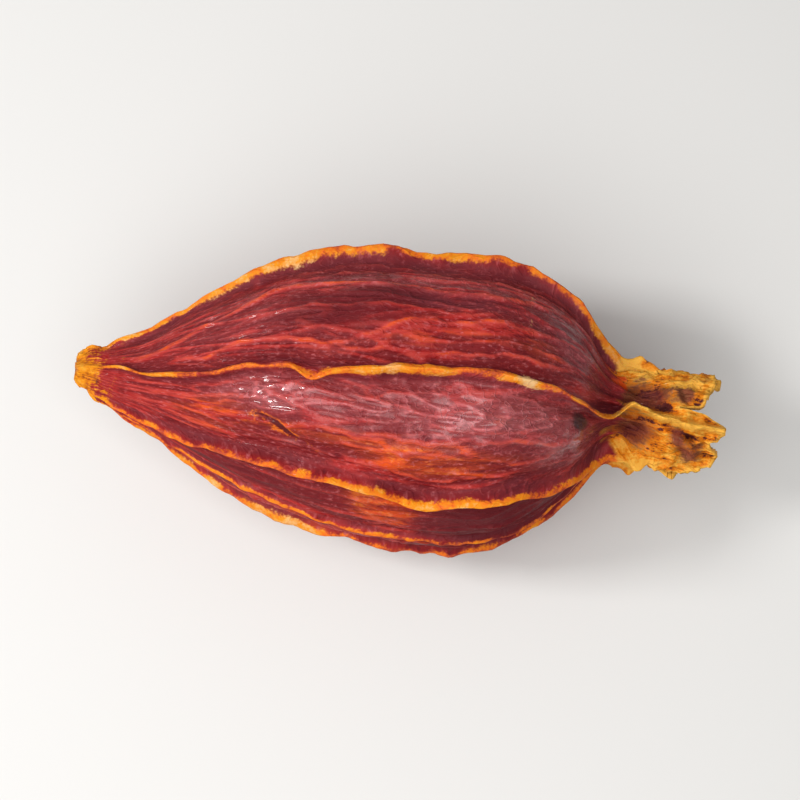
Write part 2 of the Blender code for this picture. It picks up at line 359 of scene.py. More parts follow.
# Calyx: its lobes as (angle, half width in degrees, reach past the base of the rim)
LOBES = (
    (52, 45, 0.0024),
    (-40, 42, 0.0025),
    (-15, 20, 0.0031),
    (-112, 24, 0.0010),
    (-166, 30, 0.0021),
    (127, 27, 0.0014),
)

# The calyx's torn edge, and its thin wall from the ribs outside to the mouth inside
LOBE_BLUNTNESS = 0.5
RAGGED = 0.00026
FOLD_SPREAD = 0.5
BORE_RADIUS = 0.0016
PAPER = 0.00026
LIP = 0.00010
LIP_WIDTH = 0.00028
MOUTH_SHADE = 0.002

# Folds that the dry wall of the calyx fell into, each from one (place, angle) to another, with half its
# width and its height, which is negative in a hollow
Fold = namedtuple("Fold", "start end half_width height")
FOLDS_BY_HAND = (
    Fold((0.0309, 22), (0.0325, 44), 0.0008, 0.00030),
    Fold((0.0278, 36), (0.0298, 14), 0.0006, -0.00045),
    Fold((0.0300, 30), (0.0313, 2), 0.00022, 0.00028),
    Fold((0.0281, -34), (0.0295, -24), 0.0005, -0.00038),
    Fold((0.0289, -60), (0.0307, -50), 0.0006, 0.00030),
    Fold((0.0307, -20), (0.0318, -27), 0.00018, -0.00036),
    Fold((0.02755, -17), (0.0285, -1), 0.00017, 0.00036),
    Fold((0.0285, -1), (0.0292, -6), 0.00017, 0.00036),
    Fold((0.0292, -6), (0.0333, -14), 0.00017, 0.00036),
    Fold((0.0308, -38), (0.0316, -47), 0.00018, -0.00030),
    Fold((0.0308, -17), (0.0319, -43), 0.00015, 0.00030),
    Fold((0.0326, -22), (0.0324, -40), 0.00030, -0.00022),
    Fold((0.0285, -84), (0.0286, -80), 0.00035, -0.00060),
)

# Folds given by chance to the side that faces away, between these places and angles
HIDDEN_FOLDS = 16
HIDDEN_FOLD_PLACES = (0.0282, 0.0318)
HIDDEN_FOLD_ANGLES = (85, 255)
HIDDEN_FOLD_HEIGHT = 0.0003

# Where the folds start, how deep a fold is where the painted shade in its hollow is darkest, and how far
# a rib stands clear of that shade
FOLDS_START = (0.0272, 0.0288)
FOLD_DEPTH = 0.00030
FOLDED_RIB = 0.0004

# The finer crumples of the calyx, and the ragged line where its colour begins
CRUMPLE = 0.00030
CRUMPLE_GRAIN = (0.0024, 0.0030)
FINE_CRUMPLE_GRAIN = (0.0013, 0.0007)
CALYX_RAGGED = 0.24
CALYX_COLOUR_GRAIN = (0.0011, 0.0030)
CALYX_COLOUR_START = (0.0265, 0.0275)

# Stains on the dry calyx, and an ember-red one where the body ends, each with the place and the angle of its
# middle, its half length, its half angle and its strength. The purple ones lie in the hollows of the folds,
# and are partly painted shade
Stain = namedtuple("Stain", "kind place angle half_length half_angle strength")
STAINS = (
    Stain("gold", 0.0314, 40, 0.0016, 24, 1.0),
    Stain("gold", 0.0294, 60, 0.0016, 20, 0.8),
    Stain("gold", 0.0298, -66, 0.0010, 18, 0.9),
    Stain("gold", 0.0322, -30, 0.0008, 22, 0.7),
    Stain("gold", 0.0300, 150, 0.0015, 30, 0.7),
    Stain("purple", 0.0288, 19, 0.0018, 20, 1.2),
    Stain("purple", 0.0286, -35, 0.0014, 25, 0.9),
    Stain("purple", 0.0310, -26, 0.0004, 14, 0.8),
    Stain("purple", 0.0318, -44, 0.0007, 16, 0.8),
    Stain("purple", 0.0313, 20, 0.0005, 9, 0.8),
    Stain("purple", 0.0290, -140, 0.0014, 30, 0.9),
    Stain("purple", 0.0292, 105, 0.0014, 20, 0.8),
    Stain("ember", 0.0279, 36, 0.0004, 12, 1.4),
)

# The mesh: columns on each half of a rib, columns to a degree of panel, and rings along each stretch
RIB_STEPS = 8
COLUMNS_PER_DEGREE = 1.24
BODY_RINGS = 112
CALYX_RINGS = 36
BORE_RINGS = 16


def curve(line, x):
    """A smooth line through the points of an outline, level beyond both of its ends."""
    places = np.array([point[0] for point in line])
    values = np.array([point[1] for point in line])
    slopes = np.zeros(len(line))
    slopes[1:-1] = (values[2:] - values[:-2]) / (places[2:] - places[:-2])
    slopes[0] = (values[1] - values[0]) / (places[1] - places[0])
    slopes[-1] = (values[-1] - values[-2]) / (places[-1] - places[-2])
    x = np.clip(x, places[0], places[-1])
    i = np.clip(np.searchsorted(places, x, side="right") - 1, 0, len(line) - 2)
    span = places[i + 1] - places[i]
    t = (x - places[i]) / span
    rise = values[i + 1] - values[i]
    bend = 3 * rise - (2 * slopes[i] + slopes[i + 1]) * span
    turn = (slopes[i] + slopes[i + 1]) * span - 2 * rise
    return values[i] + slopes[i] * span * t + bend * t**2 + turn * t**3


def ripple(x, number):
    """An irregular wave between -1 and 1, with its own course for each number."""
    slow = np.sin(math.tau * (x / SLOW_WAVE + 0.37 * number))
    quick = np.sin(math.tau * (x / QUICK_WAVE + 0.61 * number))
    return 0.6 * slow + 0.4 * quick


def step_up(start, end, value):
    """A smooth step from 0 at start to 1 at end, which may lie below start."""
    t = np.clip((value - start) / (end - start), 0, 1)
    return t * t * (3 - 2 * t)


def hump(distance):
    """A smooth hump of height 1 that has mostly died away at a distance of 1."""
    return np.exp(-(distance**2))


def noise_at(first, second, third):
    """Noise between about -0.7 and 0.7 at places that three arrays of coordinates give."""
    places = np.stack(np.broadcast_arrays(first, second, third), axis=-1)
    flat = [noise.noise(place) for place in places.reshape(-1, 3)]
    return np.array(flat).reshape(places.shape[:-1])


def rib_noise(x, grain, apart, seed=0.0):
    """Noise along the ribs, in grains of a length. The ribs lie so far apart in it that each has its own."""
    return noise_at(x / grain, apart * rib_number, seed)


def skin_noise(angle, x, grain, seed=0.0):
    """Noise on the skin, in grains of a size across and a size along the fruit."""
    across_scale = FULL_RADIUS / grain[0]
    return noise_at(np.sin(angle) * across_scale, np.cos(angle) * across_scale, x / grain[1] + seed)


def even_lines(values, angle, x, half_width):
    """Lines of even width, from 0 to 1, along the places where an array of values passes through zero."""
    across_step = np.diff(angle, axis=1, append=angle[:, :1])
    across_step = ((across_step + math.pi) % math.tau - math.pi) * FULL_RADIUS
    across_step = np.where(np.abs(across_step) < SMALLEST_STEP, SMALLEST_STEP, across_step)
    across_slope = np.diff(values, axis=1, append=values[:, :1]) / across_step
    along_slope = np.gradient(values, axis=0) / np.maximum(SMALLEST_STEP, np.abs(np.gradient(x, axis=0)))
    return hump(values / (half_width * np.hypot(across_slope, along_slope) + 0.02))


def make_columns():
    """For each column its rib or panel, whether it is on the rib, and how far it is across."""
    columns = []
    for number, rib in enumerate(RIBS):
        for k in range(-RIB_STEPS, RIB_STEPS + 1):
            share = k / RIB_STEPS
            columns.append((number, True, math.copysign(abs(share) ** 1.3, share)))
        after = RIBS[(number + 1) % len(RIBS)]
        span = (curve(after.path, 0.5) - curve(rib.path, 0.5)) % 360
        count = round(COLUMNS_PER_DEGREE * span)
        for k in range(count):
            columns.append((number, False, (k + 1) / (count + 1)))
    return columns


columns = make_columns()
rib_number = np.array([column[0] for column in columns])
on_rib = np.array([column[1] for column in columns])
across = np.array([column[2] for column in columns])
heights = np.array([rib.height for rib in RIBS])[rib_number]
waves = np.array([rib.wave for rib in RIBS])[rib_number]
puffs = np.array([rib.puff for rib in RIBS])[rib_number]

# The panel that each column belongs to or borders on, and its share of the way across it
panel_number = np.where(on_rib & (across < 0), (rib_number - 1) % len(RIBS), rib_number)
panel_share = np.where(on_rib, np.where(across < 0, 1.0, 0.0), across)


def up_calyx(x):
    """The share of the way from the base of the calyx to the base of its rim, from 0 to 1."""
    return np.clip((x - CALYX_BASE) / (RIM_BASE - CALYX_BASE), 0, 1)


def slimmed(x):
    """How wide the ribs are at each place, as a share of their full width."""
    return (curve(CREST_LINE, x) / FULL_RADIUS) ** RIB_TAPER * (1 + FOLD_SPREAD * up_calyx(x))


def rib_feet(x):
    """The angle of the middle of every rib's foot and half the angle that it spans, at places along X."""
    middles = np.array([np.radians(curve(rib.path, x / BODY_LENGTH)) for rib in RIBS])
    broad_part = step_up(*BROAD_FEET_START, x) * step_up(*BROAD_FEET_END, x)
    feet = np.array([min(rib.foot, PLAIN_FOOT) + max(0, rib.foot - PLAIN_FOOT) * broad_part for rib in RIBS])
    return middles, feet * slimmed(x) / curve(CREST_LINE, x)


def along_ribs(x, name):
    """How strongly the swells or the gilt stretches of a column's rib reach each place."""
    total = np.zeros(x.shape)
    for number, rib in enumerate(RIBS):
        for place, half_length, strength in getattr(rib, name):
            total += strength * hump((x - place) / half_length) * (rib_number == number)
    return total


def all_veins():
    """The listed veins and, for every panel, uneven rows of weaker ones that stray and branch."""
    draw = random.Random(7)
    veins = list(VEINS_BY_HAND)
    for number, rib in enumerate(RIBS):
        after = RIBS[(number + 1) % len(RIBS)]
        span = (curve(after.path, 0.5) - curve(rib.path, 0.5)) % 360
        count = round(span / VEIN_SPACING)
        hidden = 1.3 if number in HIDDEN_PANELS else 0.8
        for k in range(count):
            start = draw.uniform(-0.1, 0.3)
            end = draw.uniform(0.6, 1.05)
            middle = (k + 0.5) / count
            stray = 0.6 / count
            path = [(start + (end - start) * j / 4, middle + draw.uniform(-stray, stray)) for j in range(5)]
            veins.append(Vein(number, path, hidden * draw.uniform(0.25, 0.7)))
            for _ in range(draw.choice((0, 1, 1, 2))):
                fork = draw.uniform(start + 0.05, end - 0.3)
                side = draw.choice((-1, 1)) * draw.uniform(0.5, 1.1) / count
                here = float(curve(path, fork))
                branch = ((fork, here), (fork + 0.08, here + 0.5 * side), (fork + 0.24, here + side))
                veins.append(Vein(number, branch, hidden * draw.uniform(0.3, 0.6)))
    return veins


def marked(lines, x, angle, furrow):
    """How strongly lines that run along their panels mark each place, from 0 to about 1."""
    marks = np.zeros(x.shape)
    ring_x = x[:, 0]
    middles, widths = rib_feet(ring_x)
    for count, line in enumerate(lines):
        after = (line.panel + 1) % len(RIBS)
        start = middles[line.panel] + widths[line.panel]
        span = (middles[after] - widths[after] - start) % math.tau
        along = ring_x / BODY_LENGTH
        wiggle = VEIN_WIGGLE * ripple(2.6 * ring_x, 1.7 * count) / FULL_RADIUS
        course = start + curve(line.path, along) * span + wiggle
        first, last = line.path[0][0], line.path[-1][0]
        fade = step_up(first - 0.01, first + 0.06, along) * (1 - step_up(last - 0.06, last + 0.01, along))
        strength = line.height * fade * (0.75 + 0.25 * ripple(2 * ring_x, 0.9 * count))
        near = (panel_number == line.panel) | on_rib & ((rib_number == line.panel) | (rib_number == after))
        turned = (angle[:, near] - course[:, None] + math.pi) % math.tau - math.pi
        width = VEIN_HALF_WIDTH * (0.6 + 0.5 * line.height)
        away = turned * furrow[:, near] / width
        marks[:, near] = np.maximum(marks[:, near], strength[:, None] * hump(away))
    return marks


def all_patches():
    """The listed patches, and a few drawn for each panel that the list leaves out."""
    draw = random.Random(11)
    patches = list(PATCHES_BY_HAND)
    for panel in HIDDEN_PANELS:
        for kind in HIDDEN_KINDS:
            place, share = draw.uniform(0.15, 0.95), draw.uniform(0.1, 0.9)
            half_length, half_share = draw.uniform(0.06, 0.2), draw.uniform(0.08, 0.25)
            patches.append(Patch(kind, panel, place, share, half_length, half_share, draw.uniform(0.6, 1.0)))
    return patches


def patched(kind, x):
    """How strongly the patches of one kind cover each place."""
    cover = np.zeros(x.shape)
    for patch in all_patches():
        if patch.kind == kind:
            along = (x / BODY_LENGTH - patch.place) / patch.half_length
            sideways = (panel_share - patch.share) / patch.half_share
            cover += patch.strength * hump(np.hypot(along, sideways)) * (panel_number == patch.panel)
    return np.clip(cover, 0, 1.5)


def all_folds():
    """The listed calyx folds, and others drawn for the side that faces away."""
    draw = random.Random(5)
    folds = list(FOLDS_BY_HAND)
    for _ in range(HIDDEN_FOLDS):
        place, turn = draw.uniform(*HIDDEN_FOLD_PLACES), draw.uniform(*HIDDEN_FOLD_ANGLES)
        end = (place + draw.uniform(0.0006, 0.0020), turn + draw.uniform(-22, 22))
        half_width = draw.uniform(0.0002, 0.0005)
        folds.append(Fold((place, turn), end, half_width, draw.choice((-1, 1)) * HIDDEN_FOLD_HEIGHT))
    return folds


def folded(angle, x, radius):
    """How far the calyx wall is bent outwards or inwards at each place, inside and outside alike."""
    bent = np.zeros(x.shape)
    for fold in all_folds():
        run = fold.end[0] - fold.start[0]
        turn = math.radians(fold.end[1] - fold.start[1]) * radius
        off = (angle - math.radians(fold.start[1]) + math.pi) % math.tau - math.pi
        aside, ahead = off * radius, x - fold.start[0]
        share = np.clip((ahead * run + aside * turn) / (run**2 + turn**2), 0, 1)
        away = np.hypot(ahead - share * run, aside - share * turn)
        bent += fold.height * hump(away / fold.half_width)
    sharp = 1 - 3 * np.abs(skin_noise(angle, x, CRUMPLE_GRAIN, 11.0))
    finer = 1 - 3 * np.abs(skin_noise(angle, x, FINE_CRUMPLE_GRAIN, 23.0))
    return step_up(*FOLDS_START, x) * (bent + CRUMPLE * (sharp + 0.5 * finer - 0.4))


def stained(kind, x, angle):
    """How strongly the stains of one kind cover each place of the calyx."""
    cover = np.zeros(x.shape)
    for stain in STAINS:
        if stain.kind == kind:
            along = (x - stain.place) / stain.half_length
            off = (np.degrees(angle) - stain.angle + 180) % 360 - 180
            cover += stain.strength * hump(np.hypot(along, off / stain.half_angle))
    return np.clip(cover, 0, 1.5)


def ribs_and_panels(x):
    """The angle and radius of each place on the smooth ribs and panels, and how far up its rib it lies."""
    crest = curve(CREST_LINE, x)
    furrow = curve(FURROW_LINE, x)
    middles, widths = rib_feet(x)
    own = np.broadcast_to(rib_number, x.shape)[None]
    centre = np.take_along_axis(middles, own, axis=0)[0]
    width = np.take_along_axis(widths, own, axis=0)[0]

    wave = waves * crest / FULL_RADIUS
    height = (crest - furrow) * heights - 0.5 * wave * (1 + ripple(x, rib_number + 3))
    nicks = rib_noise(x, NICK_GRAINS[0], 3.7) + 0.6 * rib_noise(x, NICK_GRAINS[1], 3.7, 9.0)
    height = height + CREST_NICK * (nicks - 0.3) * step_up(*NICKS_START, x)
    lean = wave * ripple(x, rib_number) + CREST_SWAY * rib_noise(x, SWAY_GRAIN, 2.3, 5.0)
    for number, rib in enumerate(RIBS):
        for place, half_length, sideways, down in rib.kinks:
            near = hump((x - place) / half_length) * (rib_number == number)
            lean = lean + sideways * near
            height = height - down * near
    breadth = rib_noise(x, BREADTH_GRAINS[0], 4.1, 20.0) + 0.5 * rib_noise(x, BREADTH_GRAINS[1], 4.1, 30.0)
    edge = BLADE_EDGE * (1 + 0.6 * breadth) * (1 + 0.8 * along_ribs(x, "swells")) * slimmed(x)
    blade = 1 - step_up(0.35, 1.0, np.abs(across) * width * crest / edge)
    skirt = np.maximum(0, 1 - np.abs(across)) ** 1.7
    up = np.where(on_rib, (1 - SKIRT) * blade + SKIRT * skirt, 0)
    rib_angle = centre + across * width + lean * up / crest
    rib_radius = furrow + up * height

    start = centre + width
    after = (own[0] + 1) % len(RIBS)
    next_foot = np.take_along_axis(middles - widths, after[None], axis=0)[0]
    span = (next_foot - start) % math.tau
    full = np.maximum(0, furrow - BORE_RADIUS) / FULL_RADIUS
    arch = np.where(on_rib, 0, 1 - np.abs(2 * across - 1) ** PANEL_ARCH)
    puff = PANEL_PUFF * puffs * np.sqrt(span)
    dent = PANEL_DENT * ripple(0.6 * x + DENT_SLANT * across, 2 * rib_number)
    panel_radius = furrow + full * arch * (puff + dent)
    angle = np.where(on_rib, rib_angle, start + across * span)
    return angle, np.where(on_rib, rib_radius, panel_radius), up


def skin_at(x):
    """The outer skin where rings and columns lie at x: its angle, its radius and its masks, as arrays."""
    angle, radius, up = ribs_and_panels(x)
    furrow = curve(FURROW_LINE, x)
    calyx = up_calyx(x)
    body = step_up(*VEINS_START, x) * (1 - step_up(*VEINS_END, x))

    # Veins, creases, the net of wrinkles and the cracks in the wax
    vein = marked(all_veins(), x, angle, furrow) * body
    crease = marked(CREASES, x, angle, furrow) * body
    wax = patched("wax", x) * body
    broad = skin_noise(angle, x, BROAD_GRAIN)
    warped = x + NET_WARP * broad
    net = even_lines(skin_noise(angle, warped, NET_GRAIN, 60.0), angle, x, NET_HALF_WIDTH)
    fine_net = even_lines(skin_noise(angle, warped, FINE_NET_GRAIN, 40.0), angle, x, NET_HALF_WIDTH)
    crackle = even_lines(skin_noise(angle, warped, CRACKLE_GRAIN, 80.0), angle, x, NET_HALF_WIDTH)
    relief = VEIN_HEIGHT * (vein - 0.3) + NET_HEIGHT * (net + 0.6 * fine_net + 1.2 * broad - 0.5)
    relief += CRACKLE_HEIGHT * (0.25 + wax) * (crackle - 0.4) - CREASE_DEPTH * crease
    slender = np.clip(furrow / FULL_RADIUS * 1.4, 0, 1)
    radius = radius + body * slender * (1 - up) * relief
    # How far the relief rises or sinks here, from which the colours paint shade into its hollows
    relief_shading = np.clip((1 - up) * body * relief / RELIEF_DEPTH, -1, 1)

    # Puckers at the neck, with painted shade in their folds
    gather = step_up(*PUCKERS_START, x) * (1 - step_up(*PUCKERS_END, x))
    pucker = np.cos(PUCKERS * angle + 3 * broad)
    radius = radius + PUCKER * gather * (1 - up) * (pucker - 0.6)
    relief_shading = relief_shading + gather * (1 - up) * pucker

    # Knobs of the stalk scar, with painted light on their tops and painted shade between them
    knob = 0.6 - 2 * np.abs(noise_at(np.sin(angle) * 1.5, np.cos(angle) * 1.5, x / KNOB_GRAIN + 4.0))
    knob += 0.5 * noise_at(np.sin(angle) * 4, np.cos(angle) * 4, x / SMALL_KNOB_GRAIN)
    scar = 1 - step_up(*SCAR_COLOUR_END, x + SCAR_EDGE_BY_KNOB * knob - SCAR_EDGE_BY_RIB * up)
    radius = radius + SCAR_KNOB * knob * (1 - step_up(*KNOBS_END, x))
    relief_shading = relief_shading + 0.8 * knob * (1 - step_up(*KNOB_SHADING_END, x))

    # Purple in one furrow, partly its own colour and partly painted shade; bruises in patches, partly
    # painted shade; and painted shade round the neck
    beside = np.where(on_rib, 0, step_up(*DUSKY_SHARE, across) * (rib_number == DUSKY_RIB - 1))
    beside += np.where(on_rib & (rib_number == DUSKY_RIB) & (across < 0), 1, 0)
    dusk = np.maximum(0.6 * beside * step_up(*STALK_DUSK, x), patched("dusk", x))
    dusk = np.maximum(dusk, 0.8 * step_up(*NECK_SHADE, x)) * (1 - calyx)
    ragged = step_up(*CALYX_COLOUR_START, x) * skin_noise(angle, x, CALYX_COLOUR_GRAIN, 31.0)
    return {
        "angle": angle,
        "radius": radius,
        "rib": up,
        "gilt": along_ribs(x, "gilt"),
        "vein": vein,
        "net": np.clip(net + 0.6 * fine_net, 0, 1) * body * (1 - up),
        "crackle": crackle * body * (1 - up),
        "crease": crease,
        "relief": relief_shading,
        "glow": patched("glow", x) * body + stained("ember", x, angle),
        "wax": wax,
        "dusk": dusk,
        "deep": patched("deep", x) * body,
        "soot": patched("soot", x) * body,
        "scar": scar,
        "calyx": calyx + CALYX_RAGGED * ragged,
        "gold": stained("gold", x, angle),
        "purple": stained("purple", x, angle),
    }


def rim_reach():
    """Where each column ends on the torn rim of the calyx."""
    angle = ribs_and_panels(np.full((1, len(columns)), RIM_BASE))[0][0]
    reach = np.zeros(len(columns))
    for centre, half_width, tip in LOBES:
        away = (np.degrees(angle) - centre + 180) % 360 - 180
        reach = np.maximum(reach, tip * np.maximum(0, 1 - (away / half_width) ** 2) ** LOBE_BLUNTNESS)
    torn = noise_at(np.sin(angle) * 2.6, np.cos(angle) * 2.6, 5.0)
    teeth = noise_at(np.sin(angle) * 7, np.cos(angle) * 7, 15.0)
    return RIM_BASE + reach + RAGGED * (2.4 * torn + 1.2 * teeth)


def skin_places():
    """The places of all vertices as rings of columns, from the pit of the scar to the floor of the calyx."""
    ones = np.ones(len(columns))
    rim = rim_reach()
    body_x = [CALYX_BASE * k / (BODY_RINGS - 1) * ones for k in range(BODY_RINGS)]
    calyx_x = [CALYX_BASE + (rim - CALYX_BASE) * k / (CALYX_RINGS - 1) for k in range(1, CALYX_RINGS)]
    bore_x = [rim + (CALYX_FLOOR - rim) * k / (BORE_RINGS - 1) for k in range(BORE_RINGS)]
    x = np.array(body_x + calyx_x + bore_x)
    skin = skin_at(x)
    bent = folded(skin["angle"], x, curve(FURROW_LINE, x))
    skin["radius"] += bent
    # Painted shade in the hollows of the calyx's folds, lighter where a rib stands up
    skin["hollow"] = skin["calyx"] * np.clip(0.5 - (bent + FOLDED_RIB * skin["rib"]) / FOLD_DEPTH, 0, 1)
    to_rim = np.abs(rim - x)
    lip = hump(to_rim / LIP_WIDTH) * (x > CALYX_BASE)
    skin["rim"] = lip
    skin["radius"] += LIP * lip
    inside = slice(len(x) - BORE_RINGS, len(x))
    skin["radius"][inside] -= PAPER + 2 * LIP * lip[inside]
    skin["rib"][inside] = 0
    # Painted shade that deepens down the inside of the crown
    skin["hollow"][inside] = np.clip(0.4 + to_rim[inside] / MOUTH_SHADE, 0, 1)
    skin["x"] = x
    pit = np.array(SCAR_LINE)
    for name in skin:
        skin[name] = np.concatenate((np.repeat(skin[name][:1], len(pit), axis=0), skin[name]))
    rings = slice(0, len(pit))
    skin["radius"][rings] = pit[:, :1] * (0.6 + 0.4 * skin["radius"][rings] / skin["radius"][rings].mean())
    skin["x"][rings] = pit[:, 1:]
    sideways = curve(AXIS_LINE, skin["x"]) + AXIS_SIDEWAYS
    skin["places"] = np.stack((
        skin["x"] + solid_box[0].x,
        sideways + skin["radius"] * np.sin(skin["angle"]),
        np.maximum(0, skin["radius"] * np.cos(skin["angle"]) + AXIS_HEIGHT),
    ), axis=-1)
    return skin


# A tube of columns and rings, closed to a point at both ends
skin = skin_places()
ring_count = len(skin["places"])
bpy.ops.object.select_all(action="DESELECT")
bpy.ops.mesh.primitive_cylinder_add(
    vertices=len(columns), radius=FULL_RADIUS, depth=ring_count - 1, end_fill_type="NOTHING"
)
fruit = bpy.context.object
fruit.name = "ribbed_skin"
bpy.ops.object.mode_set(mode="EDIT")
bpy.ops.mesh.select_all(action="DESELECT")
tube_mesh = bmesh.from_edit_mesh(fruit.data)
for edge in tube_mesh.edges:
    edge.select = abs(edge.verts[0].co.z - edge.verts[1].co.z) > 0.5
bmesh.update_edit_mesh(fruit.data)
bpy.ops.mesh.subdivide_edgering(number_cuts=ring_count - 2, interpolation="LINEAR", smoothness=0)
bpy.ops.mesh.select_all(action="DESELECT")
bpy.ops.mesh.select_non_manifold(extend=False, use_wire=False, use_boundary=True)
bpy.ops.mesh.extrude_region_move(TRANSFORM_OT_translate={"value": (0, 0, 0)})
bpy.ops.mesh.merge(type="COLLAPSE")
bpy.ops.object.mode_set(mode="OBJECT")

# Every vertex moves to its place on the skin
tube = np.empty(len(fruit.data.vertices) * 3)
fruit.data.vertices.foreach_get("co", tube)
tube = tube.reshape(-1, 3)
poles = np.hypot(tube[:, 0], tube[:, 1]) < FULL_RADIUS / 2
ring_of = np.rint(tube[:, 2] + (ring_count - 1) / 2).astype(int)
column_of = np.rint(np.arctan2(tube[:, 0], tube[:, 1]) / math.tau * len(columns)).astype(int) % len(columns)
moved = skin["places"][ring_of, column_of]
for pole in np.flatnonzero(poles):
    moved[pole] = skin["places"][ring_of[pole]].mean(axis=0)
fruit.data.vertices.foreach_set("co", moved.ravel())

# The masks that the colours follow, and the place on a plain tube that lets their patterns run lengthwise
MASKS = (
    "rib", "gilt", "vein", "net", "crackle", "crease", "relief", "glow", "wax",
    "dusk", "scar", "calyx", "hollow", "rim", "gold", "purple", "deep", "soot",
)
for name in MASKS:
    mask = fruit.data.attributes.new(name, "FLOAT", "POINT")
    mask.data.foreach_set("value", skin[name][ring_of, column_of].astype(np.float32))
grain = fruit.data.attributes.new("grain", "FLOAT_VECTOR", "POINT")
angle = skin["angle"][ring_of, column_of]
x = skin["x"][ring_of, column_of]
grain_place = np.stack((FULL_RADIUS * np.sin(angle), FULL_RADIUS * np.cos(angle), x), axis=-1)
grain.data.foreach_set("vector", grain_place.astype(np.float32).ravel())

fruit.data.shade_smooth()
fruit.data.update()
bpy.ops.object.mode_set(mode="EDIT")
bpy.ops.mesh.select_all(action="SELECT")
bpy.ops.mesh.normals_make_consistent(inside=False)
bpy.ops.object.mode_set(mode="OBJECT")


class Shade:
    """A value or colour worked out by a material's nodes. Sums of values are written as in a formula."""

    def __init__(self, tree, socket=None):
        self.tree = tree
        self.socket = socket

    def node(self, kind, settings, inputs, output=0):
        """A new node of a type, with its settings and then the numbers, colours or links of its sockets."""
        made = self.tree.nodes.new(kind)
        for name, setting in settings.items():
            if name == "stops":
                while len(made.color_ramp.elements) < len(setting):
                    made.color_ramp.elements.new(0.5)
                for element, (position, colour) in zip(made.color_ramp.elements, setting):
                    element.position = position
                    element.color = (*colour, 1)
            else:
                setattr(made, name, setting)
        for name, given in inputs.items():
            if isinstance(given, Shade):
                self.tree.links.new(given.socket, made.inputs[name])
            else:
                made.inputs[name].default_value = given
        return Shade(self.tree, made.outputs[output])

    def maths(self, operation, first, second):
        return self.node("ShaderNodeMath", {"operation": operation}, {0: first, 1: second})

    def __add__(self, other):
        return self.maths("ADD", self, other)

    def __radd__(self, other):
        return self.maths("ADD", other, self)

    def __sub__(self, other):
        return self.maths("SUBTRACT", self, other)

    def __rsub__(self, other):
        return self.maths("SUBTRACT", other, self)

    def __mul__(self, other):
        return self.maths("MULTIPLY", self, other)

    def __rmul__(self, other):
        return self.maths("MULTIPLY", other, self)

    def __abs__(self):
        return self.maths("ABSOLUTE", self, 0.0)

    def mask(self, name):
        """One of the mesh's own masks."""
        return self.node("ShaderNodeAttribute", {"attribute_name": name}, {}, "Fac")

    def between(self, low, high):
        """0 where this value is below low, 1 where it is above high, and smooth between."""
        settings = {"interpolation_type": "SMOOTHSTEP", "clamp": True}
        return self.node("ShaderNodeMapRange", settings, {"Value": self, "From Min": low, "From Max": high})

    def noise(self, place, scale, detail=3.0, roughness=0.55):
        inputs = {"Vector": place, "Scale": scale, "Detail": detail, "Roughness": roughness}
        return self.node("ShaderNodeTexNoise", {}, inputs, "Fac")

    def lines(self, place, scale, width):
        """Fine wandering lines, where a noise passes through its middle value."""
        return 1 - abs(self.noise(place, scale, 1.0, 0.5) - 0.5).between(0.0, width)

    def stretched(self, place, along):
        """A place whose length along the fruit is scaled, so that a pattern on it is drawn out."""
        return self.node("ShaderNodeVectorMath", {"operation": "MULTIPLY"}, {0: place, 1: (1, 1, along)})

    def ramp(self, stops):
        return self.node("ShaderNodeValToRGB", {"stops": stops}, {"Fac": self}, "Color")

    def over(self, below, cover):
        """The colour cover laid over the colour below, as thick as this value says."""
        if isinstance(cover, tuple):
            cover = (*cover, 1)
        return self.node("ShaderNodeMix", {"data_type": "RGBA"}, {"Factor": self, 6: below, 7: cover}, 2)


# Colours of the dry skin, as linear light. MAROON, DUSK and BROWN are also used as painted shade, and MAROON
# as painted shadow; PAPER_PURPLE is painted shade in the calyx's folds, and the lilac is partly painted
# sheen
MAROON = (0.115, 0.008, 0.012)
RED = (0.340, 0.014, 0.013)
ROSE = (0.450, 0.036, 0.032)
ORANGE = (0.600, 0.080, 0.014)
EMBER = (0.640, 0.070, 0.006)
DUSK = (0.140, 0.022, 0.030)
SHEEN_LILAC = (0.580, 0.160, 0.170)
VEIN_RED = (0.530, 0.060, 0.044)
RUST = (0.480, 0.075, 0.022)
RIB_ORANGE = (0.860, 0.180, 0.008)
GOLD = (0.860, 0.300, 0.008)
CREAM = (0.880, 0.530, 0.230)
OCHRE = (0.600, 0.160, 0.006)
PAPER_GOLD = (0.720, 0.220, 0.006)
PAPER_PALE = (0.840, 0.415, 0.055)
PAPER_PURPLE = (0.150, 0.026, 0.024)
BROWN = (0.085, 0.014, 0.012)
SOOT = (0.045, 0.026, 0.028)


# How fine the patterns in the colours and the finest relief are, in waves to a metre, and the relief's depth
STREAKS = 2600
MOTTLE = 950
CLOUDS = 500
SPECKS = 6500
FLECKS = 5600
THREADS = 1300
FINE_THREADS = 2900
CRAZING = 2000
FINEST_RELIEF = 0.00005


